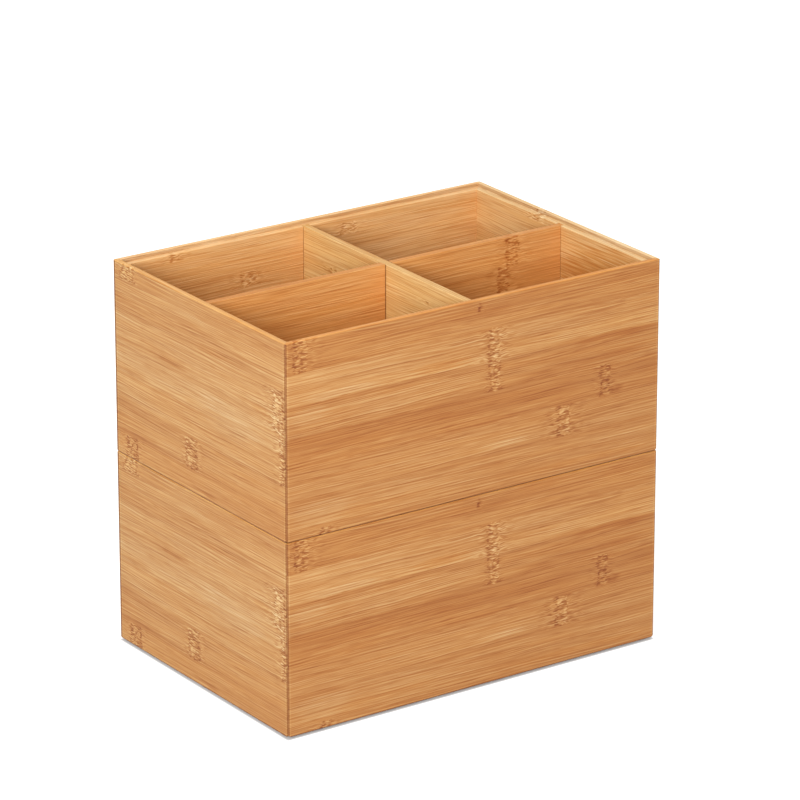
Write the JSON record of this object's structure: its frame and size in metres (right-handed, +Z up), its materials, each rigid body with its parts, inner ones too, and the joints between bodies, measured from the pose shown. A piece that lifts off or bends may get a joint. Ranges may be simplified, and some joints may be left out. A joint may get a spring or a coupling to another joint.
{
  "type": "stackable tea bag box",
  "caption": "Stack of open-topped bamboo boxes for tea bags: mitred walls, crossing dividers, and a rebated rim that takes the foot of the box above.",
  "frame": {"origin": "centre of the lower box's footprint, on the surface it stands on", "axes": "+X along the long side of the boxes, to the viewer's right; +Y from the front wall to the back wall; +Z up, the way the upper box lifts off"},
  "size_m": [0.22, 0.152, 0.2008],
  "materials": {
    "bamboo_wall": "satin lacquer over plain-pressed bamboo",
    "bamboo_divider": "satin lacquer over plain-pressed bamboo",
    "bamboo_base": "satin lacquer over plain-pressed bamboo"
  },
  "bodies": {
    "lower_box": {"lower_front_wall": "bamboo_wall", "lower_right_wall": "bamboo_wall", "lower_back_wall": "bamboo_wall", "lower_left_wall": "bamboo_wall", "lower_base_panel": "bamboo_base", "lower_long_divider": "bamboo_divider", "lower_cross_divider": "bamboo_divider"},
    "upper_box": {"upper_front_wall": "bamboo_wall", "upper_right_wall": "bamboo_wall", "upper_back_wall": "bamboo_wall", "upper_left_wall": "bamboo_wall", "upper_base_panel": "bamboo_base", "upper_long_divider": "bamboo_divider", "upper_cross_divider": "bamboo_divider"}
  },
  "joints": [
    {"name": "upper_box_lift", "type": "slide", "parent": "lower_box", "child": "upper_box", "axis": [0, 0, 1], "range_m": [0, 0.055]}
  ]
}
